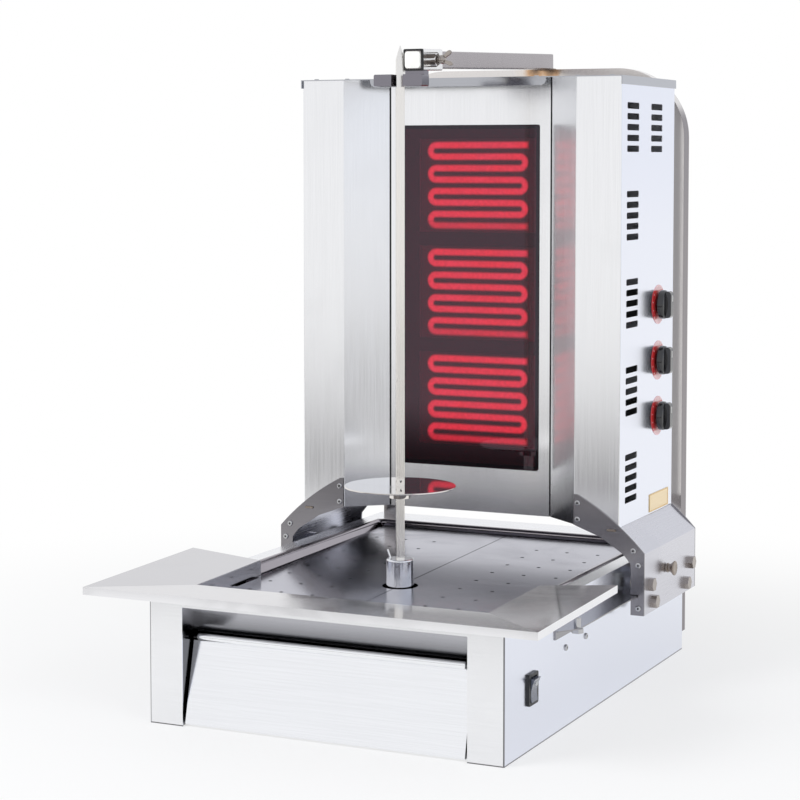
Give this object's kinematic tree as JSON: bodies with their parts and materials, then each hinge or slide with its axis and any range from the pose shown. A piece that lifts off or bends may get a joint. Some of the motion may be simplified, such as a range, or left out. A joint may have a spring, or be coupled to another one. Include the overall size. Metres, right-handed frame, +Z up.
{
  "type": "vertical kebab grill",
  "caption": "Countertop electric vertical kebab grill with a rolling burner head, turning skewer, drip pan and drawer.",
  "frame": {"origin": "middle of the base's underside", "axes": "+Z up, -Y towards the operator and the drawer, +X to the operator's right"},
  "size_m": [0.568, 0.7108, 0.8059],
  "materials": {
    "stainless": "satin",
    "polished": "polished",
    "chrome": "polished",
    "zinc": "zinc plated",
    "black_plastic": "moulded",
    "gloss_black": "glossy",
    "white_plastic": "moulded",
    "dark_glass": "glossy",
    "hot_ribbon": "glowing red behind the glass",
    "board": "pressed ceramic fibre",
    "motor_paint": "satin",
    "cast_alloy": "as cast",
    "bearing": "ground",
    "red_plastic": "translucent printed ring",
    "switch_blue": "glossy"
  },
  "bodies": {
    "base": {"base_shell": "stainless", "base_floor": "zinc", "base_rear_panel": "stainless", "base_fixings": "zinc", "cable_gland": "black_plastic", "terminal_block": "white_plastic", "drawer_bay_lining": "stainless", "drawer_runners": "zinc", "carriage_rails": "stainless", "switch_bezel": "gloss_black", "drip_pan": "polished", "pan_apron": "stainless", "motor_crossbar": "zinc", "gearbox": "cast_alloy", "spindle_bearing": "bearing", "drive_motor": "motor_paint", "support_frame": "stainless", "holder_arm": "stainless", "arm_end_cap": "white_plastic"},
    "switch_rocker": {"switch_rocker": "switch_blue"},
    "drawer": {"drawer_front": "stainless", "drawer_handle": "polished", "drawer_tray": "stainless"},
    "pan_cover_left": {"pan_cover_left": "polished"},
    "pan_cover_right": {"pan_cover_right": "polished"},
    "spindle": {"spindle_shaft": "bearing", "spindle_collar": "chrome", "skewer": "polished", "locking_pin": "zinc"},
    "meat_disc": {"meat_disc": "polished", "disc_set_screw": "zinc"},
    "holder": {"holder_sleeve": "stainless", "sleeve_liner": "black_plastic", "skewer_guide": "stainless"},
    "wing_bolt": {"wing_bolt": "zinc"},
    "head": {"head_side_left": "stainless", "head_side_right": "stainless", "centre_panel": "stainless", "ceramic_glass": "dark_glass", "heating_elements": "hot_ribbon", "insulation_boards": "board", "heater_trays": "zinc", "head_lid": "stainless", "head_rear_panel": "stainless", "head_fixings": "zinc", "blank_plate": "polished", "energy_regulators": "black_plastic", "dial_rings": "red_plastic", "carriage_brackets": "stainless", "carriage_sides": "stainless", "roller_bolts": "zinc"},
    "clamp_knob": {"clamp_knob": "gloss_black"},
    "control_knob_upper": {"control_knob_upper": "gloss_black"},
    "control_knob_middle": {"control_knob_middle": "gloss_black"},
    "control_knob_lower": {"control_knob_lower": "gloss_black"},
    "rollers_upper_front": {"rollers_upper_front": "bearing"},
    "rollers_upper_rear": {"rollers_upper_rear": "bearing"},
    "rollers_lower_front": {"rollers_lower_front": "bearing"},
    "rollers_lower_rear": {"rollers_lower_rear": "bearing"}
  },
  "joints": [
    {"name": "drawer_slide", "type": "slide", "parent": "base", "child": "drawer", "axis": [0, -1, 0], "range_m": [0, 0.4]},
    {"name": "switch_press", "type": "hinge", "parent": "base", "child": "switch_rocker", "pos_m": [0.225, -0.236, 0.07], "axis": [0, -1, 0], "range_deg": [0, 16]},
    {"name": "cover_left_lift", "type": "slide", "parent": "base", "child": "pan_cover_left", "axis": [0, 0, 1], "range_m": [0, 0.04]},
    {"name": "cover_right_lift", "type": "slide", "parent": "base", "child": "pan_cover_right", "axis": [0, 0, 1], "range_m": [0, 0.04]},
    {"name": "spindle_spin", "type": "hinge", "parent": "base", "child": "spindle", "pos_m": [0, -0.103, 0.13], "axis": [0, 0, 1], "continuous": true},
    {"name": "disc_slide", "type": "slide", "parent": "spindle", "child": "meat_disc", "axis": [0, 0, 1], "range_m": [-0.07, 0.4]},
    {"name": "head_slide", "type": "slide", "parent": "base", "child": "head", "axis": [0, -1, 0], "range_m": [-0.02, 0.1]},
    {"name": "clamp_turn", "type": "hinge", "parent": "head", "child": "clamp_knob", "pos_m": [0.26, 0.1535, 0.142], "axis": [-1, 0, 0], "range_deg": [0, 720]},
    {"name": "holder_slide", "type": "slide", "parent": "base", "child": "holder", "axis": [0, 0.9994, 0.034], "range_m": [0, 0.045]},
    {"name": "wing_bolt_turn", "type": "hinge", "parent": "holder", "child": "wing_bolt", "pos_m": [0.04, -0.08712, 0.78128], "axis": [-1, 0, 0], "range_deg": [0, 720]},
    {"name": "knob_turn_upper", "type": "hinge", "parent": "head", "child": "control_knob_upper", "pos_m": [0.225, 0.214, 0.474], "axis": [-1, 0, 0], "range_deg": [0, 270]},
    {"name": "knob_turn_middle", "type": "hinge", "parent": "head", "child": "control_knob_middle", "pos_m": [0.225, 0.214, 0.4015], "axis": [-1, 0, 0], "range_deg": [0, 270]},
    {"name": "knob_turn_lower", "type": "hinge", "parent": "head", "child": "control_knob_lower", "pos_m": [0.225, 0.214, 0.329], "axis": [-1, 0, 0], "range_deg": [0, 270]},
    {"name": "rollers_upper_front_spin", "type": "hinge", "parent": "head", "child": "rollers_upper_front", "pos_m": [0, 0.088, 0.1322], "axis": [1, 0, 0], "continuous": true},
    {"name": "rollers_upper_rear_spin", "type": "hinge", "parent": "head", "child": "rollers_upper_rear", "pos_m": [0, 0.252, 0.1322], "axis": [1, 0, 0], "continuous": true},
    {"name": "rollers_lower_front_spin", "type": "hinge", "parent": "head", "child": "rollers_lower_front", "pos_m": [0, 0.1015, 0.1083], "axis": [1, 0, 0], "continuous": true},
    {"name": "rollers_lower_rear_spin", "type": "hinge", "parent": "head", "child": "rollers_lower_rear", "pos_m": [0, 0.233, 0.1083], "axis": [1, 0, 0], "continuous": true}
  ],
  "couplings": [
    {"joint": "rollers_upper_front_spin", "follows": "head_slide", "rad_per_m": 90.909},
    {"joint": "rollers_upper_rear_spin", "follows": "head_slide", "rad_per_m": 90.909},
    {"joint": "rollers_lower_front_spin", "follows": "head_slide", "rad_per_m": -90.909},
    {"joint": "rollers_lower_rear_spin", "follows": "head_slide", "rad_per_m": -90.909}
  ]
}
